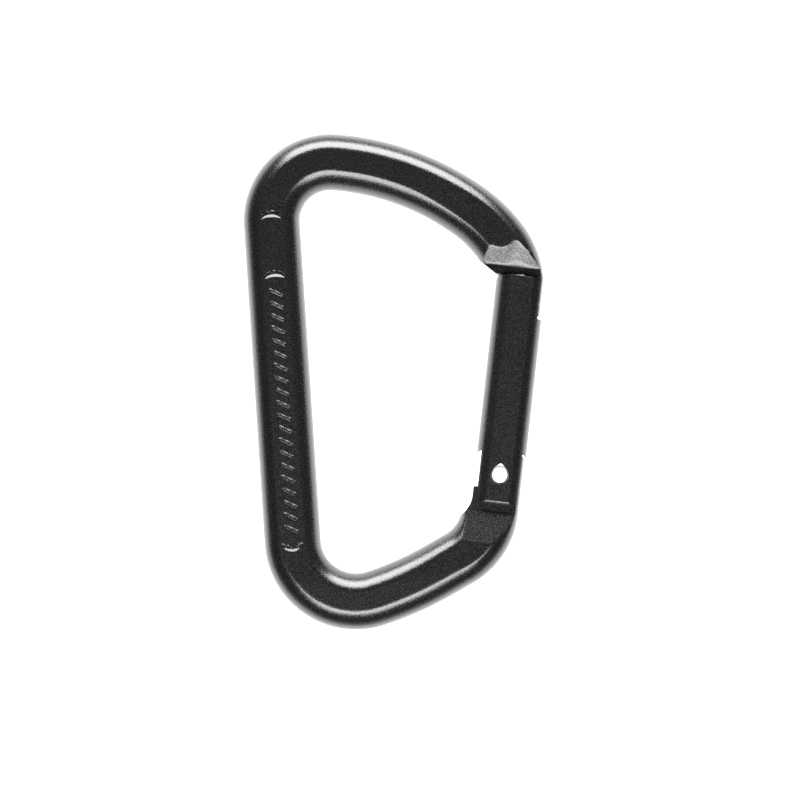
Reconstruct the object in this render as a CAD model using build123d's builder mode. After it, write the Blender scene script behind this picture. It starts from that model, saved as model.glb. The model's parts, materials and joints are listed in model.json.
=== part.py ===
"""Spring-gate carabiner: an offset-D rod frame with a riveted, spring-closed, snag-free gate.

Millimetres. The origin is the centre of the whole object's box. +Y runs along the straight spine
towards the wide end, +X runs from the spine towards the gate, and +Z comes out of the front face.
"""
from build123d import *
from math import asin, atan2, cos, degrees, hypot, radians, sin, sqrt, tan
import os

# ---- Rod and overall size ------------------------------------------------------------------
LENGTH = 80.2  # over the two rounded ends
WIDTH = 47.8  # from the spine's outer side to the nose's outer side
ROD_WIDTH = 9.2  # the round rod, seen from the front
ROD_THICKNESS = 8.2  # between the flat lands on the front and the back
WIDE_BEND = 9.45  # centreline radius where the spine turns into the wide end
NARROW_BEND = 10.2  # centreline radius where the spine turns into the narrow end
KNEE_BEND = 22.0  # centreline radius between the wide end's bow and the nose
NOSE_BEND = 13.0  # centreline radius just before the nose
SHOULDER_BEND = 10.0  # centreline radius just before the tang
SHOULDER_DROP = 10.95  # from the rivet down the tang to the corner of that bend
SHORTEST_RUN = 0.01

# A bow is the shallow curve across an end. Its two straight runs, on the spine's side and on the
# gate's side, fall away from the end's top by these angles
WIDE_SLOPES = (8.55046, 39.63913)
NARROW_SLOPES = (14.3734, 25.96088)

# Places on the gate's side, in from the right and in from the nearer end
NOSE_KNEE = (8.8, 16.07)
NOSE_CORNER = (3.83, 23.27)
PIVOT_PLACE = (9.36, 23.22)

# ---- Gate ----------------------------------------------------------------------------------
GATE_WIDTH = 8.07
GATE_THICKNESS = 7.1
GATE_TAIL = 4.54  # from the rivet to the forked end
GATE_BELOW_NOSE = 1.93  # from the nose corner of the centreline down to the gate's free end
GATE_CORNER = 1.0  # corner radius of the gate, seen from the front
GATE_OPENING = 26.0  # degrees that the gate swings towards the spine
GAP = 0.25  # working gap between the gate and the frame

# ---- Tang, fork and rivet ------------------------------------------------------------------
TANG_THICKNESS = 4.5
TANG_RADIUS = 4.8
TANG_OUTER = 3.75  # rivet axis to the tang's outer side
TANG_INNER = 3.25  # rivet axis to the tang's inner side
LIP_OUTER = 3.95  # rivet axis to the inner side of the lip below the tang
LIP_TOP = 2.1  # below the rivet axis
SHOULDER_START = 3.6  # below the rivet axis
SHOULDER_RADIUS = 4.3
RAMP_ANGLE = 19.0  # slope from the tang's face up to the rod's land
FORK_SIDE_GAP = 0.10  # between a fork cheek and the tang
FORK_ROOT_GAP = 0.30  # between the tang's round top and the fork's root
RIVET_RADIUS = 1.1
RIVET_RUNNING_GAP = 0.05  # between the rivet and the hole in the tang
RIVET_HEAD_RADIUS = 1.3
RIVET_HEAD_HEIGHT = 0.55
RIVET_HEAD_BREAK = 0.15
SEAT_RADIUS = 1.45  # the drop-shaped seat that the rivet's head sits in
SEAT_DEPTH = 0.45
SEAT_POINT_RADIUS = 0.45
SEAT_POINT = 1.4  # centre of the drop's point, above the rivet axis

# ---- Nose ----------------------------------------------------------------------------------
TONGUE_THICKNESS = 4.1
NECK_THICKNESS = 3.0
TONGUE_LENGTH = 6.13  # how far the tongue reaches down from the gate's free end
HEAD_LENGTH = 2.15  # the tongue's wide head
TONGUE_INNER = 0.45  # gate axis to the tongue's inner side, outwards
CAP_INNER = 2.9  # gate axis to the inner side of the tongue's outer cap
SLOT_SIDE_GAP = 0.3  # between the tongue and the walls of the gate's slot
SLOT_END_GAP = 0.5  # between the tongue's tip and the slot's lower end
SCOOP_START = 1.7  # above the gate's free end
SCOOP_ANGLE = 37.0
SCOOP_FILLET = 1.0
GUIDE_ANGLE = 32.0  # slope of the nose's inner side
GUIDE_START = 4.35  # gate axis to the foot of that slope

# ---- Spring and plunger --------------------------------------------------------------------
BORE_RADIUS = 1.85
PLUNGER_RADIUS = 1.75
PLUNGER_TIP_RADIUS = 1.05
PLUNGER_SHOULDER = 6.0  # above the rivet axis, gate closed
PLUNGER_BODY = 2.6
PLUNGER_STEM_RADIUS = 0.8
PLUNGER_STEM = 2.4
CAM_START = 3.6  # rivet axis to the centre of the plunger's tip, gate closed
CAM_RISE = 1.1  # how far the notch pushes the plunger as the gate opens fully
CAM_GAP = 0.03
SPRING_RADIUS = 1.35
SPRING_WIRE = 0.4
SPRING_LENGTH = 11.0  # gate closed
SPRING_TURNS = 9

# ---- Marks on the spine --------------------------------------------------------------------
MARK_DEPTH = 0.3
CRESCENT_WIDTH = 3.3
CRESCENT_RADIUS = 1.9
CRESCENT_GROOVE = 0.9
UPPER_CRESCENTS = (12.3, 21.9)  # in from the wide end, bulging towards it
LOWER_CRESCENT = 13.1  # in from the narrow end, bulging towards it
HATCH_DEPTH = 0.15
HATCH_WIDTH = 2.4
HATCH_BAR = 0.5
HATCH_PITCH = 2.0
HATCH_SLANT = -28.0
HATCH_MARGIN = 2.6  # from a crescent to the middle of the first bar

# ---- Directions and places worked out from the sizes above ---------------------------------
REACH = 12.0  # a cutting tool's overhang past the rod
rod_half = ROD_WIDTH / 2
land = ROD_THICKNESS / 2
gate_half = GATE_WIDTH / 2
spine_x = rod_half - WIDTH / 2


def from_right(place, end):
    """A place given in from the right and in from the wide (+1) or narrow (-1) end."""
    return Vector(WIDTH / 2 - place[0], end * (LENGTH / 2 - place[1]))


pivot = from_right(PIVOT_PLACE, -1)
nose_corner = from_right(NOSE_CORNER, 1)
to_nose = nose_corner - pivot
nose_inset = rod_half - gate_half  # puts the nose's outer side flush with the gate's
tang_inset = rod_half - TANG_OUTER  # puts the rod's outer side flush with the tang's
gate_angle = degrees(atan2(to_nose.Y, to_nose.X) - asin(nose_inset / to_nose.length))
gate_axis = Vector(cos(radians(gate_angle)), sin(radians(gate_angle)))
gate_side = Vector(gate_axis.Y, -gate_axis.X)  # out of the D, square to the gate's axis
nose_height = to_nose.dot(gate_axis)
gate_top = nose_height - GATE_BELOW_NOSE

# Local planes: x is outwards across the gate, y is up the gate from the rivet
front = Plane(pivot, gate_side, (0, 0, 1))
# Seen from the side: x is up the gate, y is out of the front
profile = Plane(pivot, gate_axis, gate_side)

tang_half = TANG_THICKNESS / 2
fork_half = tang_half + FORK_SIDE_GAP
fork_radius = TANG_RADIUS + FORK_ROOT_GAP
tongue_half = TONGUE_THICKNESS / 2
neck_half = NECK_THICKNESS / 2
slot_half = tongue_half + SLOT_SIDE_GAP
cheek_reach = hypot(sqrt(gate_half**2 - fork_half**2), GATE_TAIL)  # radius the fork's corners sweep
ramp_start = -(cheek_reach + GAP)
corner_reach = hypot(gate_half - GATE_CORNER, gate_top - GATE_CORNER) + GATE_CORNER
nose_underside = corner_reach + GAP
tongue_tip = hypot(gate_half, gate_top - TONGUE_LENGTH)
head_top = tongue_tip + HEAD_LENGTH - GAP / 2


def end_corners(radius, end, slopes, far_corner):
    """The corners at the spine and at the bow. The run between them just touches the spine's bend,
    and the bow's other run goes through the corner at its far end."""
    spine_slope, far_slope = (radians(slope) for slope in slopes)
    bend_reach = radius * tan((radians(90) + spine_slope) / 2)
    spine_corner = Vector(spine_x, end * (LENGTH / 2 - rod_half - radius + bend_reach))
    from_spine = Vector(cos(spine_slope), -end * sin(spine_slope))
    from_far = Vector(-cos(far_slope), end * sin(far_slope))
    run = (far_corner - spine_corner).cross(from_far).Z / from_spine.cross(from_far).Z
    return spine_corner, spine_corner + from_spine * run


def centreline_corners():
    """The corners of the rod's centreline, from the tang round to the nose."""
    tang_line = pivot - gate_side * tang_inset
    nose_line = pivot - gate_side * nose_inset
    shoulder = tang_line - gate_axis * SHOULDER_DROP
    knee = from_right(NOSE_KNEE, 1)
    narrow_spine, narrow_bow = end_corners(NARROW_BEND, -1, NARROW_SLOPES, shoulder)
    wide_spine, wide_bow = end_corners(WIDE_BEND, 1, WIDE_SLOPES, knee)
    return [
        tang_line + gate_axis * (TANG_RADIUS + 1),
        shoulder,
        narrow_bow,
        narrow_spine,
        wide_spine,
        wide_bow,
        knee,
        nose_corner,
        nose_line + gate_axis * (tongue_tip - GATE_WIDTH / 4),
    ]


def bend_radii(corners):
    """The radius at each corner. A bow is as round as the bends on either side of it allow."""
    bends = [None, SHOULDER_BEND, None, NARROW_BEND, WIDE_BEND, None, KNEE_BEND, NOSE_BEND, None]
    runs = [(b - a).length for a, b in zip(corners, corners[1:])]
    half_turns = [0.0]
    for before, corner, after in zip(corners, corners[1:], corners[2:]):
        half_turns.append(radians((corner - before).get_angle(after - corner)) / 2)
    half_turns.append(0.0)
    used = [(radius or 0) * tan(half) for radius, half in zip(bends, half_turns)]
    radii = []
    for i in range(1, len(corners) - 1):
        room = min(runs[i - 1] - used[i - 1], runs[i] - used[i + 1])
        radii.append(bends[i] or room / tan(half_turns[i]))
    return radii


def rounded_line(corners, radii):
    """Draw straight runs joined by tangent arcs, leaving out any run with no length."""
    start = corners[0]
    for before, corner, after, radius in zip(corners, corners[1:], corners[2:], radii):
        inward = (corner - before).normalized()
        outward = (after - corner).normalized()
        reach = radius * tan(radians(inward.get_angle(outward)) / 2)
        arc_start = corner - inward * reach
        arc_end = corner + outward * reach
        if (arc_start - start).length > SHORTEST_RUN:
            Line(start, arc_start)
        else:
            arc_start = start
        TangentArc(arc_start, arc_end, tangent=inward)
        start = arc_end
    Line(start, corners[-1])


def cam_point(turn):
    """The notch's floor: the path of the plunger's centre round the tang, less the tip's radius."""
    radius = CAM_START + cam_rate * turn
    slant = (PLUNGER_TIP_RADIUS + CAM_GAP) / hypot(radius, cam_rate)
    outwards = radius * (1 - slant)
    sideways = slant * cam_rate
    return (-outwards * sin(turn) - sideways * cos(turn), outwards * cos(turn) - sideways * sin(turn))


def ring_zone(inner, outer, left, right):
    """A piece of a ring about the rivet, between two lines along the gate."""
    with BuildSketch() as zone:
        Circle(outer)
        Circle(inner, mode=Mode.SUBTRACT)
        with Locations((left, 0)):
            Rectangle(right - left, outer, align=(Align.MIN, Align.MIN), mode=Mode.INTERSECT)
    return zone.sketch


def crescent(bulge):
    """A short curved groove, with the middle of its bulging side at the origin."""
    with BuildSketch() as mark:
        with Locations((0, -bulge * CRESCENT_RADIUS)):
            Circle(CRESCENT_RADIUS)
            Circle(CRESCENT_RADIUS - CRESCENT_GROOVE, mode=Mode.SUBTRACT)
        Rectangle(CRESCENT_WIDTH, 2 * CRESCENT_RADIUS, mode=Mode.INTERSECT)
    return mark.sketch


cam_rate = CAM_RISE / radians(GATE_OPENING)  # millimetres of plunger travel per radian

# ---- Frame ---------------------------------------------------------------------------------
with BuildPart() as frame:
    corners = centreline_corners()
    with BuildLine() as centreline:
        rounded_line(corners, bend_radii(corners))
    path = centreline.wires()[0]
    with BuildSketch(Plane(origin=path @ 0, x_dir=(0, 0, 1), z_dir=path % 0)):
        Circle(rod_half)
        Rectangle(ROD_THICKNESS, ROD_WIDTH + 1, mode=Mode.INTERSECT)
    sweep(path=path)

    # Flat faces of the tang, each with a ramp up to the rod's land
    ramp_run = (rod_half - tang_half) / tan(radians(RAMP_ANGLE))
    with BuildSketch(profile):
        with BuildLine():
            Polyline(
                (REACH, rod_half),
                (REACH, tang_half),
                (ramp_start, tang_half),
                (ramp_start - ramp_run, rod_half),
                close=True,
            )
        make_face()
        mirror(about=Plane.XZ)
    extrude(amount=REACH, both=True, mode=Mode.SUBTRACT)

    # Round top of the tang, its inner side, the lip and the shoulder below the lip
    shoulder_foot = SHOULDER_START + SHOULDER_RADIUS
    with BuildSketch(front):
        Rectangle(2 * REACH, REACH, align=(Align.CENTER, Align.MIN))
        Circle(TANG_RADIUS, mode=Mode.SUBTRACT)
    extrude(amount=REACH, both=True, mode=Mode.SUBTRACT)
    with BuildSketch(front):
        with BuildLine():
            Polyline(
                (-LIP_OUTER, -SHOULDER_START),
                (-LIP_OUTER, -LIP_TOP),
                (-TANG_INNER, -LIP_TOP),
                (-TANG_INNER, REACH),
                (-REACH, REACH),
                (-REACH, -shoulder_foot),
                (-LIP_OUTER - SHOULDER_RADIUS, -shoulder_foot),
            )
            RadiusArc(
                (-LIP_OUTER - SHOULDER_RADIUS, -shoulder_foot),
                (-LIP_OUTER, -SHOULDER_START),
                SHOULDER_RADIUS,
            )
        make_face()
    extrude(amount=REACH, both=True, mode=Mode.SUBTRACT)

    # Spiral notch that the plunger rides in
    cam_end = CAM_START + CAM_RISE
    with BuildSketch(front):
        for turn, radius in ((0, CAM_START), (radians(GATE_OPENING), cam_end)):
            with Locations(Location((-radius * sin(turn), radius * cos(turn)), degrees(turn))):
                Circle(PLUNGER_TIP_RADIUS + CAM_GAP)
                Rectangle(
                    2 * (PLUNGER_TIP_RADIUS + CAM_GAP),
                    TANG_RADIUS,
                    align=(Align.CENTER, Align.MIN),
                )
        with BuildLine():
            end = radians(GATE_OPENING)
            ThreePointArc(cam_point(0), cam_point(end / 2), cam_point(end))
            Polyline(
                cam_point(end),
                (-REACH * sin(end), REACH * cos(end)),
                (0, REACH),
                cam_point(0),
            )
        make_face()
    extrude(amount=REACH, both=True, mode=Mode.SUBTRACT)

    # Rivet hole
    with BuildSketch(front):
        Circle(RIVET_RADIUS + RIVET_RUNNING_GAP)
    extrude(amount=REACH, both=True, mode=Mode.SUBTRACT)

    # Underside of the nose: room for the gate's end to swing, round the tongue, and the slope
    # that guides things off the nose
    guide_foot = sqrt(nose_underside**2 - GUIDE_START**2)
    guide_rise = (REACH - GUIDE_START) * tan(radians(GUIDE_ANGLE))
    with BuildSketch(front):
        add(ring_zone(tongue_tip - REACH, nose_underside, -REACH, REACH))
        add(ring_zone(tongue_tip, REACH + nose_underside, TONGUE_INNER, REACH), mode=Mode.SUBTRACT)
        with BuildLine():
            Polyline(
                (-GUIDE_START, guide_foot),
                (-REACH, guide_foot + guide_rise),
                (-REACH, guide_foot - REACH),
                (-GUIDE_START, guide_foot - REACH),
                close=True,
            )
        make_face()
    extrude(amount=REACH, both=True, mode=Mode.SUBTRACT)

    # Flat faces of the tongue, each with a scoop up to the rod's land
    scoop_foot = gate_top + SCOOP_START
    scoop_run = (rod_half - tongue_half) / tan(radians(SCOOP_ANGLE))
    with BuildSketch(profile):
        with BuildLine():
            Polyline(
                (tongue_tip - REACH, rod_half),
                (tongue_tip - REACH, tongue_half),
                (scoop_foot, tongue_half),
                (scoop_foot + scoop_run, rod_half),
                close=True,
            )
        make_face()
        foot = vertices().sort_by_distance((scoop_foot, tongue_half))[0]
        fillet(foot, SCOOP_FILLET)
        mirror(about=Plane.XZ)
    extrude(amount=REACH, both=True, mode=Mode.SUBTRACT)

    # Narrow neck between the tongue's wide head and the nose, behind the outer cap
    for side in (1, -1):
        with BuildSketch(front.offset(side * neck_half)):
            add(ring_zone(head_top, nose_underside, 0, CAP_INNER))
        extrude(amount=side * REACH, mode=Mode.SUBTRACT)

    # Curved marks and slanted grooves on the spine's front land
    upper_marks = [LENGTH / 2 - place for place in UPPER_CRESCENTS]
    lower_mark = LOWER_CRESCENT - LENGTH / 2
    with BuildSketch(Plane.XY.offset(land)):
        with Locations(*[(spine_x, y) for y in upper_marks]):
            add(crescent(1))
        with Locations((spine_x, lower_mark)):
            add(crescent(-1))
    extrude(amount=-MARK_DEPTH, mode=Mode.SUBTRACT)
    hatch_low = lower_mark + HATCH_MARGIN
    hatch_high = upper_marks[-1] - HATCH_MARGIN
    hatch_count = int((hatch_high - hatch_low) / HATCH_PITCH) + 1
    with BuildSketch(Plane.XY.offset(land)):
        with Locations((spine_x, (hatch_low + hatch_high) / 2)):
            with GridLocations(0, HATCH_PITCH, 1, hatch_count):
                SlotOverall(HATCH_WIDTH, HATCH_BAR, rotation=HATCH_SLANT)
    extrude(amount=-HATCH_DEPTH, mode=Mode.SUBTRACT)

# ---- Gate ----------------------------------------------------------------------------------
gate_length = gate_top + GATE_TAIL
bore_top = PLUNGER_SHOULDER + PLUNGER_BODY + SPRING_LENGTH
slot_floor = tongue_tip - SLOT_END_GAP
slot_inner = TONGUE_INNER - GAP
with BuildPart() as gate:
    with BuildSketch(Plane(pivot - gate_axis * GATE_TAIL, gate_side, gate_axis)):
        Circle(gate_half)
        Rectangle(GATE_WIDTH + 1, GATE_THICKNESS, mode=Mode.INTERSECT)
    extrude(amount=gate_length)
    with BuildSketch(front):
        with Locations((0, (gate_top - GATE_TAIL) / 2)):
            RectangleRounded(GATE_WIDTH, gate_length, GATE_CORNER)
    extrude(amount=GATE_THICKNESS, both=True, mode=Mode.INTERSECT)

    # Fork round the tang
    with BuildSketch(front):
        Circle(fork_radius)
        Rectangle(2 * REACH, REACH, align=(Align.CENTER, Align.MAX))
    extrude(amount=fork_half, both=True, mode=Mode.SUBTRACT)

    # Slot for the tongue: wide for its head and its outer cap, narrow for its neck
    neck_slot_half = neck_half + SLOT_SIDE_GAP
    with BuildSketch(front):
        add(ring_zone(slot_floor, head_top + GAP, slot_inner, REACH))
        add(ring_zone(slot_floor, gate_top + REACH, CAP_INNER - GAP, REACH))
    extrude(amount=slot_half, both=True, mode=Mode.SUBTRACT)
    with BuildSketch(front):
        add(ring_zone(slot_floor, gate_top + REACH, slot_inner, REACH))
    extrude(amount=neck_slot_half, both=True, mode=Mode.SUBTRACT)

    # Rivet hole, and a drop-shaped seat for the rivet's head in each cheek
    with BuildSketch(front):
        Circle(RIVET_RADIUS)
    extrude(amount=GATE_THICKNESS, both=True, mode=Mode.SUBTRACT)
    for side in (1, -1):
        with BuildSketch(front.offset(side * GATE_THICKNESS / 2)):
            Circle(SEAT_RADIUS)
            with Locations((0, SEAT_POINT)):
                Circle(SEAT_POINT_RADIUS)
            make_hull()
        extrude(amount=-side * SEAT_DEPTH, mode=Mode.SUBTRACT)

    # Blind bore for the plunger and its spring
    with BuildSketch(Plane(front.origin, gate_side, gate_axis)):
        Circle(BORE_RADIUS)
    extrude(amount=bore_top, mode=Mode.SUBTRACT)

# ---- Rivet ---------------------------------------------------------------------------------
head_base = GATE_THICKNESS / 2 - SEAT_DEPTH
with BuildPart() as gate_rivet:
    with BuildSketch(front):
        Circle(RIVET_RADIUS)
    extrude(amount=head_base, both=True)
    for side in (1, -1):
        with BuildSketch(front.offset(side * head_base)):
            Circle(RIVET_HEAD_RADIUS)
        extrude(amount=side * RIVET_HEAD_HEIGHT)
    fillet(gate_rivet.faces().sort_by(Axis.Z)[0].edges(), RIVET_HEAD_BREAK)
    fillet(gate_rivet.faces().sort_by(Axis.Z)[-1].edges(), RIVET_HEAD_BREAK)

# ---- Plunger -------------------------------------------------------------------------------
plunger_seat = PLUNGER_SHOULDER + PLUNGER_BODY
with BuildPart() as spring_plunger:
    with BuildSketch(profile):
        with BuildLine():
            CenterArc((CAM_START, 0), PLUNGER_TIP_RADIUS, 90, 90)
            Polyline(
                (CAM_START, PLUNGER_TIP_RADIUS),
                (PLUNGER_SHOULDER, PLUNGER_TIP_RADIUS),
                (PLUNGER_SHOULDER, PLUNGER_RADIUS),
                (plunger_seat, PLUNGER_RADIUS),
                (plunger_seat, PLUNGER_STEM_RADIUS),
                (plunger_seat + PLUNGER_STEM, PLUNGER_STEM_RADIUS),
                (plunger_seat + PLUNGER_STEM, 0),
                (CAM_START - PLUNGER_TIP_RADIUS, 0),
            )
        make_face()
    revolve(axis=Axis(front.origin, gate_axis))

# ---- Spring, with its end turns ground flat --------------------------------------------------
pitch = SPRING_LENGTH / SPRING_TURNS
seat = Plane(front.origin + gate_axis * plunger_seat, gate_side, gate_axis)
with BuildPart() as gate_spring:
    with BuildLine():
        coil = Helix(pitch, SPRING_LENGTH, SPRING_RADIUS, seat.origin, gate_axis)
    with BuildSketch(Plane(origin=coil @ 0, z_dir=coil % 0)):
        Circle(SPRING_WIRE / 2)
    sweep(path=coil, is_frenet=True)
    with BuildSketch(seat):
        Circle(BORE_RADIUS)
    extrude(amount=SPRING_LENGTH, mode=Mode.INTERSECT)

# ---- Files ---------------------------------------------------------------------------------
os.makedirs("parts", exist_ok=True)
pieces = {
    "frame": frame,
    "gate": gate,
    "gate_rivet": gate_rivet,
    "spring_plunger": spring_plunger,
    "gate_spring": gate_spring,
}
for name, piece in pieces.items():
    piece.part.label = name
    export_step(piece.part, f"parts/{name}.step")
print("pivot", pivot, "gate angle", gate_angle, "gate top", gate_top, "cam rate", cam_rate)
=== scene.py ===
import json
import math

import bmesh
import bpy
import numpy as np
from mathutils import Matrix, Vector


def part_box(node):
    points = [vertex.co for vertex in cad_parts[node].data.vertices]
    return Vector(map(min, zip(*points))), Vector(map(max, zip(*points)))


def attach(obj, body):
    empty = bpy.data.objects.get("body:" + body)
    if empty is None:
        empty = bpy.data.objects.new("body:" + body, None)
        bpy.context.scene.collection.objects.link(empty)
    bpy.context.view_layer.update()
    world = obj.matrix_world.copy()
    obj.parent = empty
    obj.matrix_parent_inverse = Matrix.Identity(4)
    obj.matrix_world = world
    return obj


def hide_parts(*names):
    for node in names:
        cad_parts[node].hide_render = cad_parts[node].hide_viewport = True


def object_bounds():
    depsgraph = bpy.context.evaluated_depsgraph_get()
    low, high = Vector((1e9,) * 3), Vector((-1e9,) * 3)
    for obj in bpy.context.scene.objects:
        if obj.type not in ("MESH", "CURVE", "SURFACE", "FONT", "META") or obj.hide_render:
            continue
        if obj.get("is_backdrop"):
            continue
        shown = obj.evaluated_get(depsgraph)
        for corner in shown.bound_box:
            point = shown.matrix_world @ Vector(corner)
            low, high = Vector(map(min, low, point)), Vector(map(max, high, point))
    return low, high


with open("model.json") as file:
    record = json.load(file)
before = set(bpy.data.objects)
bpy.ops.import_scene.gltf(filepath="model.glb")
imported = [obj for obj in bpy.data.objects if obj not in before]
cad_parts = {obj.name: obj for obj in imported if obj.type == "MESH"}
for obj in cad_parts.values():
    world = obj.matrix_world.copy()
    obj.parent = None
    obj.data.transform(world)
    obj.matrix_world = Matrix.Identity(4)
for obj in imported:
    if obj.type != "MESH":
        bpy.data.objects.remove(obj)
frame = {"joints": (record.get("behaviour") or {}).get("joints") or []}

MM = 0.001
low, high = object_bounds()

# ---- Places taken from the frame ----------------------------------------------------------
hinge = next(j for j in frame["joints"] if j["name"] == "gate_hinge")
slide = next(j for j in frame["joints"] if j["name"] == "plunger_slide")
pivot = np.array(hinge["pos_m"][:2]) / MM
up = np.array(slide["axis"][:2])
up /= np.linalg.norm(up)
out = np.array([up[1], -up[0]])  # out of the D, square to the gate's axis
frame_low, frame_high = (np.array(c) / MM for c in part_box("frame"))
gate_high = np.array(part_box("gate")[1]) / MM

LAND = frame_high[2]
ROD = 4.6
LEFT, RIGHT = frame_low[0], -frame_low[0]
TOP = frame_high[1]
SPINE_X = LEFT + ROD
WIDE_BEND, NARROW_BEND, KNEE_BEND, NOSE_BEND, SHOULDER_BEND = 9.45, 10.2, 22.0, 13.0, 10.0
WIDE_SLOPES, NARROW_SLOPES = (8.55046, 39.63913), (14.3734, 25.96088)
SHOULDER_DROP = 10.95
TANG_INSET, NOSE_INSET = 0.85, 0.565
GATE_HALF, GATE_LAND, GATE_TOP, GATE_TAIL, GATE_CORNER = 4.035, gate_high[2], 32.226, 4.54, 1.0
TANG_HALF, TANG_RADIUS, TANG_INNER, TANG_OUTER = 2.25, 4.8, 3.25, 3.75
LIP_OUTER, LIP_TOP, SHOULDER_START, SHOULDER_RADIUS = 3.95, 2.1, 3.6, 4.3
RAMP_START, RAMP_ANGLE = -5.853, 19.0
TONGUE_HALF, NECK_HALF, TONGUE_INNER, CAP_INNER = 2.05, 1.5, 0.45, 2.9
NOSE_UNDERSIDE, HEAD_TOP, TONGUE_TIP = 32.62, 28.43, 26.406
SCOOP_FOOT, SCOOP_SOFT = 33.926, 0.55
GUIDE_ANGLE, GUIDE_START = 32.0, 4.35
SLOT_FLOOR, SLOT_INNER, SLOT_HALF, NECK_SLOT_HALF, CAP_SLOT = 25.906, 0.2, 2.35, 1.8, 2.65
HEAD_SLOT_TOP, OPEN_TOP, SLOT_OUTER = 28.67, 34.5, 4.6
KNEE_INSET, KNEE_DROP, NOSE_CORNER_INSET, NOSE_CORNER_DROP = 8.8, 16.07, 3.83, 23.27
FORK_HALF, FORK_RADIUS = 2.35, 5.1
BORE, BORE_START, BORE_END = 1.85, 3.0, 19.6
CAM_START, CAM_RISE, NOTCH_RADIUS, SWING = 3.6, 2.42405, 1.08, 26
RIVET_HOLE, SEAT_RADIUS, SEAT_FOOT, SEAT_TIP, SEAT_DEPTH, SEAT_OVER = 1.1, 1.42, 1.37, 0.45, 0.45, 0.1
MARK_RADIUS, MARK_HALF, MARK_HEIGHT, MARK_DEPTH = 1.9, 1.62, 1.02, 0.47
HATCH_PITCH, HATCH_SLANT, HATCH_HALF, HATCH_HEIGHT = 2.0, math.radians(-28.0), 1.15, 0.54
ORIGIN = np.array([*pivot, 0.0])


def point(n, u):
    """A place in the row frame, from its distance outwards across the gate and up the gate."""
    return pivot + np.multiply.outer(n, out) + np.multiply.outer(u, up)


def gate_n(p):
    """How far a place lies outwards across the gate from the rivet."""
    return (p - pivot) @ out


def gate_u(p):
    """How far a place lies up the gate from the rivet."""
    return (p - pivot) @ up


# ---- Meshes and materials -----------------------------------------------------------------
def mesh_object(name, verts, faces, material, smooth=True, crease=None):
    """A mesh from places in millimetres, its doubles merged, sharp where it turns more than crease."""
    mesh = bpy.data.meshes.new(name)
    mesh.from_pydata([tuple(v) for v in np.asarray(verts, float) * MM], [], [tuple(f) for f in faces])
    work = bmesh.new()
    work.from_mesh(mesh)
    bmesh.ops.remove_doubles(work, verts=work.verts, dist=2e-6)
    flat = [f for f in work.faces if f.calc_area() < 1e-13]
    if flat:
        bmesh.ops.dissolve_degenerate(work, dist=2e-6, edges=work.edges)
    bmesh.ops.recalc_face_normals(work, faces=work.faces)
    for face in work.faces:
        face.smooth = smooth
    if crease:
        for edge in work.edges:
            if len(edge.link_faces) == 2 and edge.calc_face_angle(0) > math.radians(crease):
                edge.smooth = False
    work.to_mesh(mesh)
    work.free()
    made = bpy.data.objects.new(name, mesh)
    bpy.context.scene.collection.objects.link(made)
    mesh.materials.append(material)
    return made


def nodes_of(name, base, metallic, rough):
    """A new material with its tree, its shader and the object coordinates."""
    mat = bpy.data.materials.new(name)
    mat.use_nodes = True
    tree = mat.node_tree
    shader = tree.nodes["Principled BSDF"]
    shader.inputs["Base Color"].default_value = (*base, 1)
    shader.inputs["Metallic"].default_value = metallic
    shader.inputs["Roughness"].default_value = rough
    place = tree.nodes.new("ShaderNodeTexCoord")
    return mat, tree, shader, place.outputs["Object"]


def noise(tree, where, scale, detail=3.0, rough=0.6):
    """A noise pattern over the object."""
    made = tree.nodes.new("ShaderNodeTexNoise")
    made.inputs["Scale"].default_value = scale
    made.inputs["Detail"].default_value = detail
    made.inputs["Roughness"].default_value = rough
    tree.links.new(where, made.inputs["Vector"])
    return made.outputs["Fac"]


def mapped(tree, value, low_in, high_in, low_out, high_out):
    """A value carried from one range to another."""
    made = tree.nodes.new("ShaderNodeMapRange")
    for socket, number in zip(("From Min", "From Max", "To Min", "To Max"),
                              (low_in, high_in, low_out, high_out)):
        made.inputs[socket].default_value = number
    tree.links.new(value, made.inputs["Value"])
    return made.outputs["Result"]


def bump(tree, shader, height, depth, strength, before=None):
    """A bump of a depth in millimetres, on top of an earlier one where there is one."""
    made = tree.nodes.new("ShaderNodeBump")
    made.inputs["Distance"].default_value = depth * MM
    made.inputs["Strength"].default_value = strength
    tree.links.new(height, made.inputs["Height"])
    if before is not None:
        tree.links.new(before.outputs["Normal"], made.inputs["Normal"])
    tree.links.new(made.outputs["Normal"], shader.inputs["Normal"])
    return made


def anodised(name, grain, depth, rough):
    """Black anodised aluminium over a fine blasted grain."""
    mat, tree, shader, where = nodes_of(name, (0.012, 0.012, 0.0125), 0.0, rough)
    shader.inputs["IOR"].default_value = 1.6
    fine = noise(tree, where, grain, 2.0, 0.65)
    broad = noise(tree, where, 420.0, 3.0, 0.55)
    tree.links.new(mapped(tree, fine, 0.3, 0.7, rough - 0.07, rough + 0.1), shader.inputs["Roughness"])
    ramp = tree.nodes.new("ShaderNodeValToRGB")
    ramp.color_ramp.elements[0].position, ramp.color_ramp.elements[1].position = 0.3, 0.75
    ramp.color_ramp.elements[0].color = (0.0025, 0.0025, 0.0026, 1)
    ramp.color_ramp.elements[1].color = (0.011, 0.011, 0.0113, 1)
    tree.links.new(fine, ramp.inputs["Fac"])
    tree.links.new(ramp.outputs["Color"], shader.inputs["Base Color"])
    first = bump(tree, shader, broad, 0.02, 0.25)
    bump(tree, shader, fine, depth, 0.5, first)
    return mat


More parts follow.
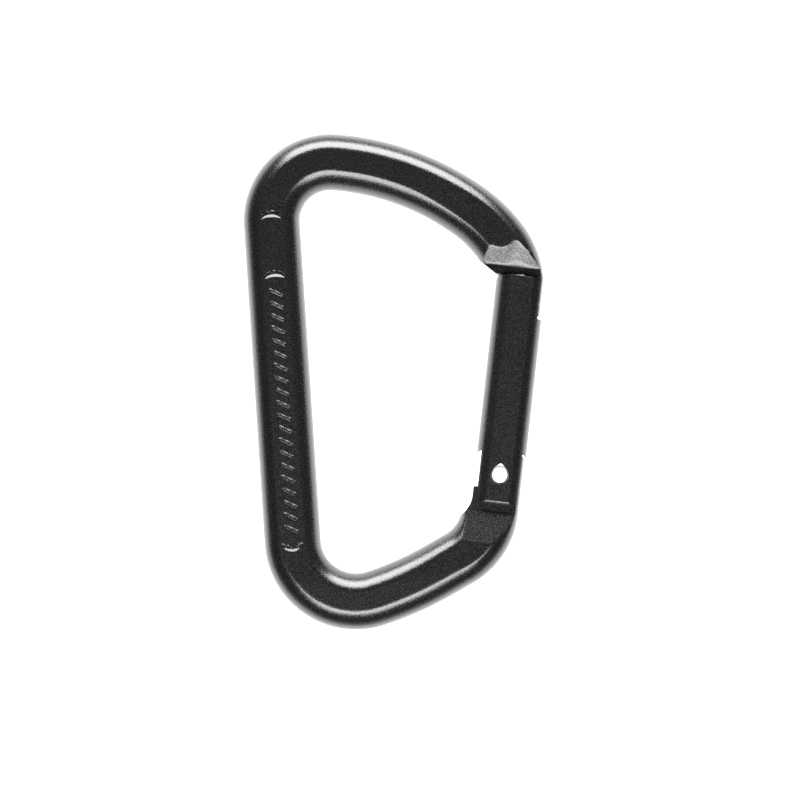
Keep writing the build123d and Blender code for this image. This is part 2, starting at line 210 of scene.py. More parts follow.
def metal(name, base, rough, grain, depth, metallic=1.0):
    """Bare metal with a fine grain."""
    mat, tree, shader, where = nodes_of(name, base, metallic, rough)
    fine = noise(tree, where, grain, 4.0, 0.6)
    tree.links.new(mapped(tree, fine, 0.3, 0.7, rough - 0.08, rough + 0.1), shader.inputs["Roughness"])
    bump(tree, shader, fine, depth, 0.6)
    return mat


rod_finish = anodised("anodised_rod", 4200.0, 0.04, 0.22)
gate_finish = anodised("anodised_gate", 4600.0, 0.03, 0.24)
steel = metal("bare_steel", (0.66, 0.66, 0.65), 0.42, 1400.0, 0.02, 0.45)
bare_aluminium = metal("bare_aluminium", (0.9, 0.9, 0.9), 0.45, 1800.0, 0.02, 0.5)
wire_steel = metal("spring_wire", (0.55, 0.54, 0.52), 0.22, 2400.0, 0.01)


def facet():
    """The nose's facets: a coarser, lighter blasted skin with bright specks."""
    mat, tree, shader, where = nodes_of("blasted_facet", (0.05, 0.05, 0.05), 0.0, 0.5)
    speck = noise(tree, where, 5200.0, 2.0, 0.7)
    ramp = tree.nodes.new("ShaderNodeValToRGB")
    ramp.color_ramp.elements[0].position, ramp.color_ramp.elements[1].position = 0.36, 0.68
    ramp.color_ramp.elements[0].color = (0.02, 0.02, 0.02, 1)
    ramp.color_ramp.elements[1].color = (0.3, 0.3, 0.3, 1)
    tree.links.new(speck, ramp.inputs["Fac"])
    tree.links.new(ramp.outputs["Color"], shader.inputs["Base Color"])
    bump(tree, shader, speck, 0.05, 0.8)
    return mat


facet_finish = facet()

# ---- The rod's centreline -----------------------------------------------------------------
def end_corners(radius, end, slopes, far):
    """Corners of a rounded end: on the spine, and where its slope meets the one from the far corner."""
    spine_slope, far_slope = (math.radians(s) for s in slopes)
    reach = radius * math.tan((math.pi / 2 + spine_slope) / 2)
    corner = np.array([SPINE_X, end * (TOP - ROD - radius + reach)])
    a = np.array([math.cos(spine_slope), -end * math.sin(spine_slope)])
    b = np.array([-math.cos(far_slope), end * math.sin(far_slope)])
    d = far - corner
    run = (d[0] * b[1] - d[1] * b[0]) / (a[0] * b[1] - a[1] * b[0])
    return corner, corner + a * run


tang_line = point(-TANG_INSET, 0.0)
nose_line = point(-NOSE_INSET, 0.0)
shoulder = tang_line - up * SHOULDER_DROP
knee = np.array([RIGHT - KNEE_INSET, TOP - KNEE_DROP])
nose_corner = np.array([RIGHT - NOSE_CORNER_INSET, TOP - NOSE_CORNER_DROP])
narrow_spine, narrow_bow = end_corners(NARROW_BEND, -1, NARROW_SLOPES, shoulder)
wide_spine, wide_bow = end_corners(WIDE_BEND, 1, WIDE_SLOPES, knee)
corners = [tang_line + up * 6.0, shoulder, narrow_bow, narrow_spine, wide_spine, wide_bow, knee,
           nose_corner, nose_line + up * 23.0]
bends = [0, SHOULDER_BEND, None, NARROW_BEND, WIDE_BEND, None, KNEE_BEND, NOSE_BEND, 0]


def centreline():
    """Points 0.02 mm apart along the rounded line, their distance along it, and their directions."""
    runs = [np.linalg.norm(b - a) for a, b in zip(corners, corners[1:])]
    ways = [(b - a) / r for a, b, r in zip(corners, corners[1:], runs)]
    turns = [0.0] + [math.atan2(a[0] * b[1] - a[1] * b[0], a @ b) for a, b in zip(ways, ways[1:])] + [0.0]
    used = [(r or 0) * math.tan(abs(t) / 2) for r, t in zip(bends, turns)]
    points, ahead = [], []
    start = corners[0]
    for i in range(1, len(corners) - 1):
        radius = bends[i]
        if radius is None:
            room = min(runs[i - 1] - used[i - 1], runs[i] - used[i + 1])
            radius = room / math.tan(abs(turns[i]) / 2)
        reach = radius * math.tan(abs(turns[i]) / 2)
        arc_start = corners[i] - ways[i - 1] * reach
        length = (arc_start - start) @ ways[i - 1]
        for k in range(max(0, int(length / 0.02))):
            points.append(start + ways[i - 1] * (length * k / int(length / 0.02)))
            ahead.append(math.atan2(ways[i - 1][1], ways[i - 1][0]))
        heading = math.atan2(ways[i - 1][1], ways[i - 1][0])
        side = math.copysign(1, turns[i])
        centre = arc_start + radius * side * np.array([-ways[i - 1][1], ways[i - 1][0]])
        steps = int(abs(turns[i]) * radius / 0.02)
        for k in range(steps):
            h = heading + turns[i] * k / steps
            points.append(centre + radius * side * np.array([math.sin(h), -math.cos(h)]))
            ahead.append(h)
        start = corners[i] + ways[i] * reach
    length = np.linalg.norm(corners[-1] - start)
    steps = int(length / 0.02)
    for k in range(steps + 1):
        points.append(start + ways[-1] * (length * k / steps))
        ahead.append(math.atan2(ways[-1][1], ways[-1][0]))
    points, ahead = np.array(points), np.unwrap(np.array(ahead))
    s = np.concatenate([[0], np.cumsum(np.linalg.norm(np.diff(points, axis=0), axis=1))])
    return s, points, ahead


line_s, line_p, line_h = centreline()


def on_line(s):
    """The centreline point and the outward direction at each distance."""
    s = np.asarray(s, float)
    p = np.stack([np.interp(s, line_s, line_p[:, i]) for i in (0, 1)], -1)
    h = np.interp(s, line_s, line_h)
    return p, np.stack([-np.sin(h), np.cos(h)], -1) * OUTWARD


travel = np.array([math.cos(line_h[0]), math.sin(line_h[0])])
OUTWARD = 1.0 if np.array([-travel[1], travel[0]]) @ out > 0 else -1.0


def nearest_s(place):
    """Distance along the line of the point nearest to a place."""
    return line_s[np.argmin(((line_p - np.asarray(place)) ** 2).sum(1))]


# ---- Heights of the front and back lands --------------------------------------------------
edge_n = np.array([-6.4, -5.9, -5.4, -4.3, -3.3, -2.5, -1.7, -1.2, -0.6, 0.2, 1.6, 2.6, 4.5])
edge_u = np.array([35.9, 36.0, 36.4, 36.2, 36.3, 36.8, 37.75, 38.0, 37.85, 37.4, 36.3, 35.6, 35.4])
edge_at = np.linspace(-7, 5, 241)
edge_padded = np.pad(np.interp(edge_at, edge_n, edge_u), 8, mode="edge")
edge_line = np.convolve(edge_padded, np.hanning(17) / 8, "valid")


def scoop_height(u, n):
    """Height of the nose's facet: it rises from a straight, rounded foot to a wavy upper edge."""
    rise = (u - SCOOP_FOOT) * (LAND - TONGUE_HALF) / (np.interp(n, edge_at, edge_line) - SCOOP_FOOT)
    mixed = np.clip(0.5 + 0.5 * rise / SCOOP_SOFT, 0, 1)
    return TONGUE_HALF + rise * mixed + SCOOP_SOFT * mixed * (1 - mixed) * 0.5


def smooth(t):
    """An even step from 0 to 1."""
    t = np.clip(t, 0, 1)
    return t * t * (3 - 2 * t)


def land_top(p):
    """The lands are a little higher, and so narrower, round the two bows."""
    y = p[..., 1]
    return LAND + 0.16 * np.maximum(smooth((y - 25) / 7), smooth((-y - 27) / 6))


def land_height(p):
    """Height of the flat or facet over a place on the rod, with a small round along each edge."""
    top = land_top(p)
    u, n = gate_u(p), gate_n(p)
    near_gate = p[..., 0] > 2.0
    ramp = TANG_HALF + np.maximum(RAMP_START - u, 0) * math.tan(math.radians(RAMP_ANGLE))
    tang = np.where((u < 12) & near_gate, ramp, 99.0)
    nose = np.where((u > 20) & near_gate, scoop_height(u, n), 99.0)
    h = np.minimum(tang, nose)
    k = np.where(nose < tang, 0.34, 0.12)
    mixed = np.clip(0.5 + 0.5 * (h - top) / k, 0, 1)
    return h + (top - h) * mixed - k * mixed * (1 - mixed) * 0.5


def groove(distance, depth, soft=0.07):
    """Depth of a groove with steep, slightly rounded walls, from the signed distance to its edge."""
    return depth * smooth(0.5 - distance / (2 * soft))


def wedge(down, depth):
    """Depth of a groove with a steep upper wall and a long slope up from its foot, from 0 to 1 across it."""
    return depth * np.clip(np.minimum(down / 0.16, (1 - down) / 0.84), 0, 1)


upper_marks = [TOP - 12.3, TOP - 21.9]
lower_mark = 13.1 - TOP
hatch_low, hatch_high = lower_mark + 2.6, upper_marks[-1] - 2.6
hatch_count = int((hatch_high - hatch_low) / HATCH_PITCH) + 1
hatch_places = np.arange(hatch_count) - (hatch_count - 1) / 2
hatch_middles = (hatch_low + hatch_high) / 2 + hatch_places * HATCH_PITCH


def marks_depth(x, y):
    """Depth of the curved marks and slanted grooves on the spine's front land."""
    depth = np.zeros_like(x)
    for top, way in [(m, 1) for m in upper_marks] + [(lower_mark, -1)]:
        rim = top - way * (MARK_RADIUS - np.sqrt(np.maximum(MARK_RADIUS**2 - x**2, 0)))
        thick = MARK_HEIGHT * (1 - 0.5 * (x / 1.65) ** 2)
        down = ((rim - y) if way > 0 else (rim + thick - y)) / thick
        crescent = wedge(down, MARK_DEPTH * thick) * groove(np.abs(x) - MARK_HALF, 1.0, 0.06)
        depth = np.maximum(depth, crescent)
    for middle in hatch_middles:
        a = x * math.cos(HATCH_SLANT) + (y - middle) * math.sin(HATCH_SLANT)
        b = -x * math.sin(HATCH_SLANT) + (y - middle) * math.cos(HATCH_SLANT)
        bar = wedge((HATCH_HEIGHT / 2 - b) / HATCH_HEIGHT, 0.2) * groove(np.abs(a) - HATCH_HALF, 1.0)
        depth = np.maximum(depth, bar)
    return depth


# ---- The frame, ring by ring --------------------------------------------------------------
FRONT, BELLY, BACK = 35, 17, 15


def spaced(count, inset):
    """Places from -1 to 1, with two close together beside each end."""
    return np.concatenate([[-1.0], np.linspace(-inset, inset, count - 2), [1.0]])


front_t, back_t = spaced(FRONT, 0.955), spaced(BACK, 0.955)
belly_t = np.concatenate([[0.035], np.linspace(0.11, 0.89, BELLY - 2), [0.965]])


def section(wl, wr):
    """Across and height of one ring: front land, outer belly, back land, inner belly."""
    hl, hr = (np.sqrt(np.maximum(ROD * ROD - w * w, 0)) for w in (wl, wr))
    al, ar = np.arctan2(hl, wl), np.arctan2(hr, wr)
    middle, half = (wr - wl) / 2, (wr + wl) / 2
    outer, inner = ar * (1 - 2 * belly_t), math.pi + al * (1 - 2 * belly_t)
    across = [middle + half * front_t, ROD * np.cos(outer), middle - half * back_t, ROD * np.cos(inner)]
    height = [np.full(FRONT, np.nan), ROD * np.sin(outer), np.full(BACK, np.nan), ROD * np.sin(inner)]
    return np.concatenate(across), np.concatenate(height)


is_front = np.zeros(FRONT + BELLY + BACK + BELLY, bool)
is_front[:FRONT] = True
is_back = np.zeros_like(is_front)
is_back[FRONT + BELLY:FRONT + BELLY + BACK] = True

nose_first = nearest_s(nose_corner) - 6.0
nose_zone = line_s > nose_first


def s_at_radius(radius, across):
    """Where along the line a point that far out from it is at a distance from the pivot."""
    s = line_s[nose_zone]
    p, side = on_line(s)
    result = np.empty_like(across)
    for i, t in enumerate(across):
        r = np.linalg.norm(p + side * t - pivot, axis=1)
        result[i] = np.interp(-radius, -r, s)
    return result


def ring(place):
    """One ring of the swept rod. place takes distances out from the line to distances along it."""
    wl = wr = math.sqrt(ROD**2 - LAND**2)
    for _ in range(6):
        ends = np.array([-wl, wr])
        p, side = on_line(place(ends))
        h = land_height(p + side * ends[:, None])
        wl, wr = np.sqrt(np.maximum(ROD**2 - h**2, 0.5))
    across, height = section(wl, wr)
    p, side = on_line(place(across))
    xy = p + side * across[:, None]
    flat = land_height(xy)
    ridge = np.minimum(across + wl, wr - across)
    flat = flat - 0.045 * np.clip(1 - ridge / 0.42, 0, 1) ** 2
    z = np.where(is_front, flat, np.where(is_back, -flat, height))
    return np.column_stack([xy, z])


def clear_side(points):
    """Cut the tang's inner side, its lip and the shoulder below it, and the nose's guiding slope."""
    n, u = gate_n(points[:, :2]), gate_u(points[:, :2])
    arc = -LIP_OUTER - SHOULDER_RADIUS + np.sqrt(np.maximum(
        SHOULDER_RADIUS**2 - (u + SHOULDER_START) ** 2, 0))
    limit = np.where(u > -LIP_TOP, -TANG_INNER, np.where(u > -SHOULDER_START, -LIP_OUTER, arc))
    limit = np.where((u < 8) & (u > -SHOULDER_START - SHOULDER_RADIUS), limit, -99.0)
    foot = math.sqrt(NOSE_UNDERSIDE**2 - GUIDE_START**2)
    guide = -GUIDE_START - (u - foot) / math.tan(math.radians(GUIDE_ANGLE))
    limit = np.where((u > 20) & (n < 0) & (n > -12), guide, limit)
    limit = np.where(points[:, 0] > 0, limit, -99.0)
    moved = points.copy()
    push = np.maximum(limit - n, 0)
    moved[:, :2] += np.outer(push, out)
    return moved


def cam_floor(n):
    """Top of the tang over each place across it: the round end, less the plunger's spiral notch."""
    top = np.sqrt(np.maximum(TANG_RADIUS**2 - n**2, 0.0))
    for turn in np.radians(np.linspace(0, SWING, 2 * SWING + 1)):
        r = CAM_START + CAM_RISE * turn
        x, y = -r * math.sin(turn), r * math.cos(turn)
        inside = np.abs(n - x) < NOTCH_RADIUS
        floor = y - np.sqrt(np.maximum(NOTCH_RADIUS**2 - (n - x) ** 2, 0))
        top = np.where(inside, np.minimum(top, floor), top)
    return top


def tang_rings():
    """Rings from the tang's round top down to the rivet, then to the shoulder."""
    rings = []
    flat_half = math.sqrt(ROD**2 - TANG_HALF**2)
    across, height = section(flat_half, flat_half)
    n = np.clip(across - TANG_INSET, -TANG_INNER, TANG_OUTER)
    z = np.where(is_front, TANG_HALF, np.where(is_back, -TANG_HALF, height))
    half, middle = (TANG_OUTER - 0.75 + TANG_INNER) / 2, (TANG_OUTER - 0.75 - TANG_INNER) / 2
    n[:FRONT] = middle + half * np.linspace(-1, 1, FRONT)
    n[FRONT + BELLY:FRONT + BELLY + BACK] = middle - half * np.linspace(-1, 1, BACK)
    top = cam_floor(n)
    for inset, share in ((1.0, 0.0), (0.55, 0.0), (0.12, 0.0), (0.0, -0.12)):
        z_here = z * (1 - inset)
        rings.append(np.column_stack([point(n, top + share), z_here]))
    for share in np.linspace(0.96, 0.0, 12):
        rings.append(np.column_stack([point(n, (top - 0.12) * share), z]))
    return rings


def nose_rings(first):
    """Rings that turn from square to the rod to round the pivot, then the tongue down to its tip."""
    rings = []
    for share in np.linspace(0, 1, 64):
        def place(t, share=share):
            """Distances along the line that end on a constant distance from the rivet."""
            end = s_at_radius(NOSE_UNDERSIDE, np.asarray(t, float))
            return first + share * (end - first)
        rings.append(clear_side(ring(place)))
    last = rings[-1]
    n_last, z_last = gate_n(last[:, :2]), last[:, 2]
    n_low, n_high = n_last[is_front].min(), n_last[is_front].max()

    def tongue(radius, neck, shrink=1.0, trim=0.0):
        """One ring of the tongue at a distance from the rivet, narrow where it is the neck."""
        n = n_last.copy()
        z = z_last.copy()
        rows = is_front | is_back
        n[rows] = TONGUE_INNER + trim + (n_last[rows] - n_low) / (n_high - n_low) * (
            n_high - TONGUE_INNER - trim)
        left = (~rows) & (n_last < 0)
        n[left] = TONGUE_INNER + trim
        right = (~rows) & (n_last > 0)
        n[right] = n_last[right] - trim
        if neck:
            z = np.where(n < CAP_INNER, np.clip(z, -NECK_HALF, NECK_HALF), z)
        z = z * shrink
        u = np.sqrt(np.maximum(radius**2 - n**2, 0))
        return np.column_stack([point(n, u), z])

    rings.append(tongue(NOSE_UNDERSIDE - 0.02, True))
    for radius in np.linspace(NOSE_UNDERSIDE - 0.3, HEAD_TOP + 0.02, 12):
        rings.append(tongue(radius, True))
    rings.append(tongue(HEAD_TOP, False))
    for radius in np.linspace(HEAD_TOP - 0.25, TONGUE_TIP + 0.15, 6):
        rings.append(tongue(radius, False))
    rings.append(tongue(TONGUE_TIP, False, 0.93, 0.12))
    for shrink in (0.6, 0.25, 0.0):
        rings.append(tongue(TONGUE_TIP, False, shrink, 0.12))
    return rings


def frame_rings():
    """All the rings, from the tang's top round the spine to the tongue's tip, closest where it matters."""
    rings = tang_rings()
    s_rivet = nearest_s(tang_line)
    first_nose = nearest_s(nose_corner) - 2.2
    s = s_rivet + 0.35
    spine_low = nearest_s((SPINE_X, lower_mark - 1.0))
    spine_high = nearest_s((SPINE_X, upper_marks[0] + 1.0))
    steps = [s]
    while s < first_nose:
        p = on_line(s)[0]
        u = gate_u(p)
        if spine_low < s < spine_high:
            step = 0.15
        elif p[0] > 2 and u < 0 and u > -14:
            step = 0.16 if abs(u + LIP_TOP) > 0.3 else 0.07
        elif s > first_nose - 5:
            step = 0.3
        else:
            step = 0.5
        s += step
        steps.append(s)
    for s in steps:
        rings.append(clear_side(ring(lambda t, s=s: np.full(np.shape(t), s))))
    for points in rings:
        on_spine = is_front & (np.abs(points[:, 0] - SPINE_X) < 2.4) & (points[:, 2] > LAND - 0.1)
        if on_spine.any():
            depth = marks_depth(points[:, 0] - SPINE_X, points[:, 1])
            points[:, 2] -= np.where(on_spine, depth, 0)
    return rings + nose_rings(steps[-1])


def skin(rings):
    """Faces between neighbouring rings."""
    columns = len(rings[0])
    faces = []
    for i in range(len(rings) - 1):
        a, b = i * columns, (i + 1) * columns
        for j in range(columns):
            k = (j + 1) % columns
            faces.append((a + j, b + j, b + k, a + k))
    return faces


def verts_of_rings(verts, count):
    """A list of places parted into rings of a given number."""
    return [verts[i:i + count] for i in range(0, len(verts), count)]


def close_line(points):
    """Bring the two sides of a flattened end ring onto the same places along one line."""
    middle = points.copy()
    front = points[:FRONT]
    middle[:, 2] = 0.0
    for index in range(FRONT + BELLY, FRONT + BELLY + BACK):
        k = int(np.argmin(np.linalg.norm(front[:, :2] - points[index, :2], axis=1)))
        middle[index, :2] = front[k, :2]
    middle[FRONT:FRONT + BELLY, :2] = front[-1, :2]
    middle[FRONT + BELLY + BACK:, :2] = front[0, :2]
    return middle


rings = frame_rings()
rings[0] = close_line(rings[0])
rings[-1] = close_line(rings[-1])
rod = mesh_object("frame_rod", np.concatenate(rings), skin(rings), rod_finish, crease=38)
print("frame_rod", len(rod.data.vertices), "vertices", len(rod.data.polygons), "faces")
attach(rod, "frame_body")
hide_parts("frame")

# ---- Cutting one mesh with another --------------------------------------------------------
def prism(name, outline, low_z, high_z, material, wide=None, end_material=None):
    """A solid between two heights over an outline of places across and up the gate."""
    outline = np.asarray(outline, float)
    wide = outline if wide is None else np.asarray(wide, float)
    count = len(outline)
    rows = [np.column_stack([point(wide[:, 0], wide[:, 1]), np.full(count, high_z)]),
            np.column_stack([point(outline[:, 0], outline[:, 1]), np.full(count, low_z)])]
    faces = [tuple(range(count)), tuple(range(2 * count - 1, count - 1, -1))]
    faces += [(i, (i + 1) % count, count + (i + 1) % count, count + i) for i in range(count)]
    made = mesh_object(name, np.concatenate(rows), faces, material, smooth=False)
    if end_material is not None:
        made.data.materials.append(end_material)
        for face in made.data.polygons:
            face.material_index = int(abs(face.normal.z) > 0.99)
    return made


def settle(piece):
    """Turn a piece's modifiers into its mesh."""
    bpy.context.view_layer.update()
    whole = bpy.data.meshes.new_from_object(piece.evaluated_get(bpy.context.evaluated_depsgraph_get()))
    piece.modifiers.clear()
    piece.data = whole


def cut(piece, cutters):
    """Take the cutters out of a piece, each leaving its own materials on the walls it cuts."""
    for cutter in cutters:
        change = piece.modifiers.new("cut", "BOOLEAN")
        change.operation, change.solver, change.object = "DIFFERENCE", "EXACT", cutter
        change.material_mode = "TRANSFER"
    settle(piece)
    for cutter in cutters:
        bpy.data.objects.remove(cutter)


def bevel(piece, width, angle):
    """A small round along the edges that turn more than an angle."""
    change = piece.modifiers.new("edges", "BEVEL")
    change.width, change.segments, change.angle_limit = width * MM, 2, math.radians(angle)
    change.limit_method, change.harden_normals, change.use_clamp_overlap = "ANGLE", False, True
    settle(piece)
    for face in piece.data.polygons:
        face.use_smooth = True


def circle(radius, count=48):
    """Outline of a circle about the rivet."""
    turn = np.linspace(0, 2 * math.pi, count, endpoint=False)
    return np.column_stack([radius * np.cos(turn), radius * np.sin(turn)])


def arc_strip(inner, outer, left, right):
    """Outline of a piece of a ring about the rivet, between two lines along the gate."""
    n = np.linspace(left, right, 24)
    low_side = np.column_stack([n, np.sqrt(inner**2 - n**2)])
    high_side = np.column_stack([n, np.sqrt(outer**2 - n**2)])
    return np.concatenate([low_side, high_side[::-1]])


cut(rod, [prism("hole", circle(1.15), -6, 6, rod_finish)])
rod.data.materials.append(facet_finish)
for face in rod.data.polygons:
    place = np.array(face.center) / MM
    n, u = gate_n(place[:2]), gate_u(place[:2])
    on_nose = place[0] > 5 and SCOOP_FOOT < u < 39
    faces_gate = 0.3 < abs(face.normal.z) < 0.895 and face.normal.xy @ Vector(up) < 0
    if on_nose and faces_gate and abs(abs(place[2]) - scoop_height(u, n)) < 0.1:
        face.material_index = len(rod.data.materials) - 1

# ---- Turned pieces ------------------------------------------------------------------------
def turned(name, profile, centre, axis, material, count=64):
    """A piece of revolution from (radius, distance along the axis) pairs, closed at both ends."""
    axis = np.asarray(axis, float) / np.linalg.norm(axis)
    side = np.cross(axis, [0, 0, 1.0] if abs(axis[2]) < 0.9 else [1.0, 0, 0])
    side /= np.linalg.norm(side)
    other = np.cross(axis, side)
    turn = np.linspace(0, 2 * math.pi, count, endpoint=False)
    spokes = np.outer(np.cos(turn), side) + np.outer(np.sin(turn), other)
    verts = np.concatenate([centre + axis * t + spokes * r for r, t in profile])
    faces = []
    for i in range(len(profile) - 1):
        for j in range(count):
            k = (j + 1) % count
            faces.append((i * count + j, i * count + k, (i + 1) * count + k, (i + 1) * count + j))
    return mesh_object(name, verts, faces, material, crease=42)


# ---- The gate: a bar with two flat faces, forked at one end and slotted at the other -------
G_FRONT, G_SIDE = 23, 17
TAIL_ROUND, TOP_ROUND = 0.34, 0.09
g_front_t = spaced(G_FRONT, 0.95)
g_side_t = np.concatenate([[0.04], np.linspace(0.12, 0.88, G_SIDE - 2), [0.96]])


def gate_ring(u, n_max, z_max, flatten=1.0):
    """One ring of the gate: two flats, and two round sides cut off at n_max."""
    w = math.sqrt(GATE_HALF**2 - z_max**2)
    top = math.atan2(z_max, w)
    w = min(w, n_max)
    turn = top * (1 - 2 * g_side_t)
    side_n, side_z = np.minimum(GATE_HALF * np.cos(turn), n_max), GATE_HALF * np.sin(turn)
    n = np.concatenate([w * g_front_t, side_n, -w * g_front_t, -side_n])
    z = np.concatenate([np.full(G_FRONT, z_max), side_z, np.full(G_FRONT, -z_max), -side_z])
    ridge = np.clip(1 - (w - np.abs(n)) / 0.12, 0, 1) * (np.abs(z) == z_max)
    z = z - np.sign(z) * 0.02 * ridge
    return np.column_stack([point(n, np.full(len(n), u)), z * flatten])


def gate_rings():
    """Rings up the gate, with a round corner seen from the front and a small round over each end."""
    near = np.array([0.0, 0.03, 0.08, 0.15, 0.24, 0.36, 0.5, 0.68, 0.84, 1.0])
    middle = np.linspace(1.0, GATE_TOP + GATE_TAIL - 1.0, 64)[1:-1]
    along = np.concatenate([near, middle, (GATE_TOP + GATE_TAIL) - near[::-1]])
    made = []
    for d in along:
        end = min(d, GATE_TOP + GATE_TAIL - d)
        rounded = math.sqrt(max(GATE_CORNER**2 - max(GATE_CORNER - end, 0) ** 2, 0))
        n_max = GATE_HALF - GATE_CORNER + rounded
        r = TAIL_ROUND if d < 5 else TOP_ROUND
        z_max = GATE_LAND - r + math.sqrt(max(r**2 - max(r - end, 0) ** 2, 0))
        made.append(gate_ring(d - GATE_TAIL, n_max, z_max))
    narrow = GATE_HALF - GATE_CORNER
    first = [gate_ring(-GATE_TAIL, narrow, GATE_LAND - TAIL_ROUND, k) for k in (0.0, 0.4, 0.8)]
    last = [gate_ring(GATE_TOP, narrow, GATE_LAND - TOP_ROUND, k) for k in (0.8, 0.4, 0.0)]
    return first + made + last


g_rings = gate_rings()
gate_bar = mesh_object("gate_bar", np.concatenate(g_rings), skin(g_rings), gate_finish)

turn = np.linspace(0, math.pi, 40)
fork = np.concatenate([np.column_stack([FORK_RADIUS * np.cos(turn), FORK_RADIUS * np.sin(turn)]),
                       [(-FORK_RADIUS, -7), (FORK_RADIUS, -7)]])
head_slot = arc_strip(SLOT_FLOOR, HEAD_SLOT_TOP, SLOT_INNER, SLOT_OUTER)
cap_slot, neck_slot = (arc_strip(SLOT_FLOOR, OPEN_TOP, n, SLOT_OUTER) for n in (CAP_SLOT, SLOT_INNER))
bore = [(0.0, BORE_START), (BORE, BORE_START), (BORE, BORE_END), (0.0, BORE_END)]
slots = [prism("fork", fork, -FORK_HALF, FORK_HALF, gate_finish),
         prism("head", head_slot, -SLOT_HALF, SLOT_HALF, gate_finish),
         prism("cap", cap_slot, -SLOT_HALF, SLOT_HALF, gate_finish),
         prism("neck", neck_slot, -NECK_SLOT_HALF, NECK_SLOT_HALF, gate_finish),
         turned("bore", bore, ORIGIN, (*up, 0), gate_finish, 48)]
cut(gate_bar, slots)
bevel(gate_bar, 0.12, 50)

drop_turn = np.radians(np.linspace(-215, 35, 46))
tip_turn = np.radians(np.linspace(50, 130, 12))
drop_round = SEAT_RADIUS * np.column_stack([np.cos(drop_turn), np.sin(drop_turn)])
drop_tip = SEAT_TIP * np.column_stack([np.cos(tip_turn), np.sin(tip_turn)]) + np.array([0, 1.4])
drop = np.concatenate([drop_round, drop_tip])
seat_foot = drop / np.linalg.norm(drop, axis=1)[:, None] * SEAT_FOOT
seat_base, seat_top = GATE_LAND - SEAT_DEPTH, GATE_LAND + SEAT_OVER
drop_over = seat_foot + (drop - seat_foot) * (SEAT_DEPTH + SEAT_OVER) / SEAT_DEPTH
# The seats' flared walls are bare aluminium. Their floors keep the gate's dark anodised finish as painted
# shade for the gap round the rivet head.
seats = [prism("seat", seat_foot, seat_base, seat_top, bare_aluminium, drop_over, gate_finish),
         prism("seat_back", seat_foot, -seat_base, -seat_top, bare_aluminium, drop_over, gate_finish),
         prism("rivet_hole", circle(RIVET_HOLE), -6, 6, gate_finish)]
cut(gate_bar, seats)
work = bmesh.new()
work.from_mesh(gate_bar.data)
bmesh.ops.remove_doubles(work, verts=work.verts, dist=2e-6)
bmesh.ops.dissolve_degenerate(work, dist=2e-6, edges=work.edges)
for edge in work.edges:
    edge.smooth = not (len(edge.link_faces) == 2 and edge.calc_face_angle(0) > math.radians(34))
work.to_mesh(gate_bar.data)
work.free()
print("gate_bar", len(gate_bar.data.vertices), len(gate_bar.data.polygons))
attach(gate_bar, "gate_body")
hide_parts("gate")

# ---- The rivet and the plunger ------------------------------------------------------------
head = [(0.0, 3.585), (0.3, 3.587), (0.55, 3.6), (0.75, 3.625), (0.92, 3.645), (1.04, 3.648), (1.14, 3.635),
        (1.2, 3.6), (1.245, 3.54), (1.26, 3.47), (1.26, 3.3), (1.2, 3.22), (1.18, 3.1), (1.1, 3.1)]
both_ends = head + [(r, -t) for r, t in head[::-1]]
rivet = turned("rivet_peened", both_ends, ORIGIN, (0, 0, 1), steel)
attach(rivet, "gate_body")
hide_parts("gate_rivet")

tip = [(1.05 * math.sin(a), 3.6 - 1.05 * math.cos(a)) for a in np.linspace(0, math.pi / 2, 12)]
body = [(1.05, 5.9), (1.13, 6.0), (1.65, 6.0), (1.72, 6.03), (1.75, 6.1), (1.75, 7.2), (1.66, 7.3),
        (1.66, 7.5), (1.75, 7.6), (1.75, 8.5), (1.72, 8.57), (1.65, 8.6), (0.88, 8.6), (0.8, 8.7),
        (0.8, 10.7), (0.76, 10.85), (0.62, 11.0), (0.0, 11.0)]
plunger = turned("plunger_turned", tip + body, ORIGIN, (*up, 0), steel)
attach(plunger, "plunger_body")
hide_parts("spring_plunger")

# ---- The gate's spring --------------------------------------------------------------------
def spring_tube():
    """A wire coil with a closed turn at each end."""
    turns, wire, radius, length, start, sides = 9, 0.2, 1.35, 11.0, 8.6, 14
    t = np.linspace(0, turns, turns * 40 + 1)
    foot, top = wire + 0.42, length - wire - 0.42
    rise = np.interp(t, [0, 0.9, turns - 0.9, turns], [wire, foot, top, length - wire])
    spin = 2 * math.pi * t
    radial = np.outer(np.cos(spin), [*out, 0.0]) + np.outer(np.sin(spin), [0, 0, 1.0])
    along = np.array([*up, 0.0])
    centre = ORIGIN + radial * radius + np.outer(rise + start, along)
    verts = [c + wire * (math.cos(a) * r + math.sin(a) * along) for c, r in zip(centre, radial)
             for a in np.linspace(0, 2 * math.pi, sides, endpoint=False)]
    count = len(t)
    faces = skin(verts_of_rings(verts, sides))
    faces += [tuple(range(sides - 1, -1, -1)), tuple((count - 1) * sides + j for j in range(sides))]
    return mesh_object("spring_wire_coil", verts, faces, wire_steel, crease=50)


coil = spring_tube()
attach(coil, "gate_body")
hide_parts("gate_spring")

# ---- Floor, light and camera --------------------------------------------------------------
def plain(name, colour, rough):
    """A plain matt material."""
    mat = bpy.data.materials.new(name)
    mat.use_nodes = True
    shader = mat.node_tree.nodes["Principled BSDF"]
    shader.inputs["Base Color"].default_value = (*colour, 1)
    shader.inputs["Roughness"].default_value = rough
    return mat


FLOOR_DROP = 0.06


def plate(name, half, height, material):
    """A square plate for the stage, lying at a height."""
    mesh = bpy.data.meshes.new(name)
    corners_at = [(x * half, y * half, height) for x, y in ((-1, -1), (1, -1), (1, 1), (-1, 1))]
    mesh.from_pydata(corners_at, [], [(0, 1, 2, 3)])
    made = bpy.data.objects.new(name, mesh)
    bpy.context.scene.collection.objects.link(made)
    mesh.materials.append(material)
    made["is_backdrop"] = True
    return made


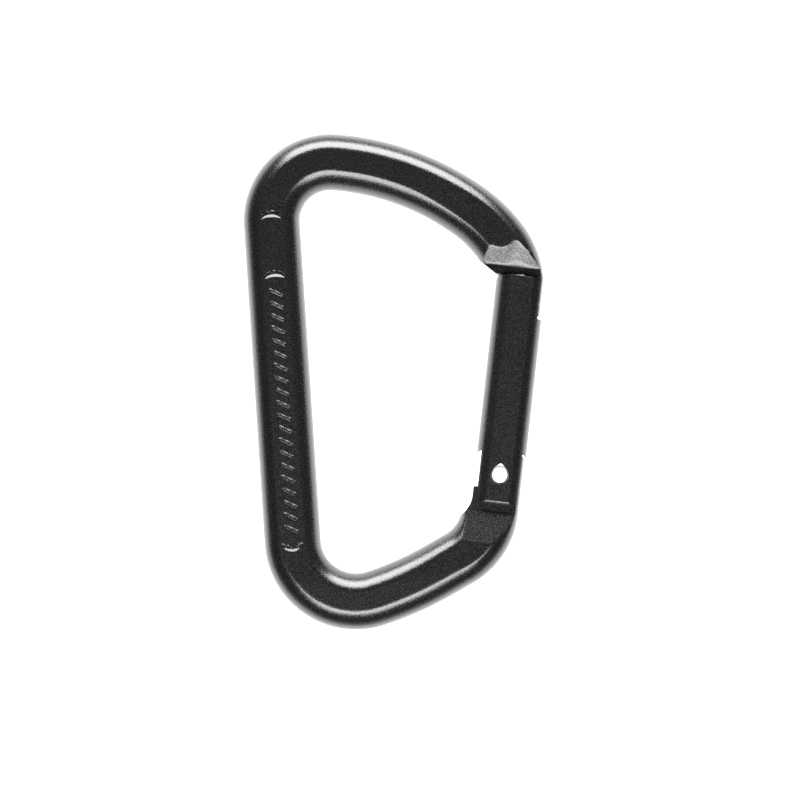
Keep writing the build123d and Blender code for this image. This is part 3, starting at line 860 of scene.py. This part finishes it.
table_white = plain("table_white", (0.95, 0.95, 0.95), 0.9)
glow = table_white.node_tree.nodes["Principled BSDF"].inputs
glow["Emission Color"].default_value = (1, 1, 1, 1)
glow["Emission Strength"].default_value = 0.5
plate("table", 0.2, low.z - FLOOR_DROP, table_white)
plate("floor", 1.2, low.z - FLOOR_DROP - 0.02, plain("floor_grey", (0.32, 0.32, 0.32), 0.9))


def area(name, place, width, depth, power):
    """A rectangular lamp that shines on the row's origin."""
    data = bpy.data.lights.new(name, "AREA")
    data.shape = "RECTANGLE"
    data.size, data.size_y, data.energy = width, depth, power
    lamp = bpy.data.objects.new(name, data)
    lamp.location = place
    lamp.rotation_mode = "QUATERNION"
    lamp.rotation_quaternion = (-place).to_track_quat("-Z", "Y")
    bpy.context.scene.collection.objects.link(lamp)
    lamp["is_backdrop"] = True
    return lamp


roll = math.radians(3.84)
image_right = Vector((math.cos(roll), -math.sin(roll), 0))
image_up = Vector((math.sin(roll), math.cos(roll), 0))


def seen(upward, height):
    """A place towards the top of the picture and above the row's origin."""
    return image_up * upward + Vector((0, 0, height))


area("top_box", seen(0.658, 0.239), 0.9, 0.42, 19.0)
area("bottom_strip", seen(-0.361, 0.479), 0.6, 0.36, 8.0)

world = bpy.data.worlds.new("surround")
bpy.context.scene.world = world
world.use_nodes = True
world.node_tree.nodes["Background"].inputs["Color"].default_value = (1, 1, 1, 1)
world.node_tree.nodes["Background"].inputs["Strength"].default_value = 0.04
bpy.context.scene.view_settings.view_transform = "Standard"

camera_data = bpy.data.cameras.new("camera")
camera_data.lens, camera_data.sensor_width = 200, 36
camera = bpy.data.objects.new("camera", camera_data)
bpy.context.scene.collection.objects.link(camera)
bpy.context.scene.camera = camera
tilt = math.radians(3.0)
look = (image_up * math.sin(tilt) - Vector((0, 0, 1)) * math.cos(tilt)).normalized()
view_width = 128.7788 * MM
distance = view_width * camera_data.lens / camera_data.sensor_width
aim = image_right * (-0.3232 * MM) + image_up * (-3.6526 * MM)
camera.location = aim - look * distance
right = look.cross(image_up).normalized()
camera.rotation_mode = "QUATERNION"
true_up = right.cross(look)
camera.rotation_quaternion = Matrix((right, true_up, -look)).transposed().to_quaternion()
camera_data.clip_start, camera_data.clip_end = 0.01, 10

bpy.context.view_layer.update()
low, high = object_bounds()
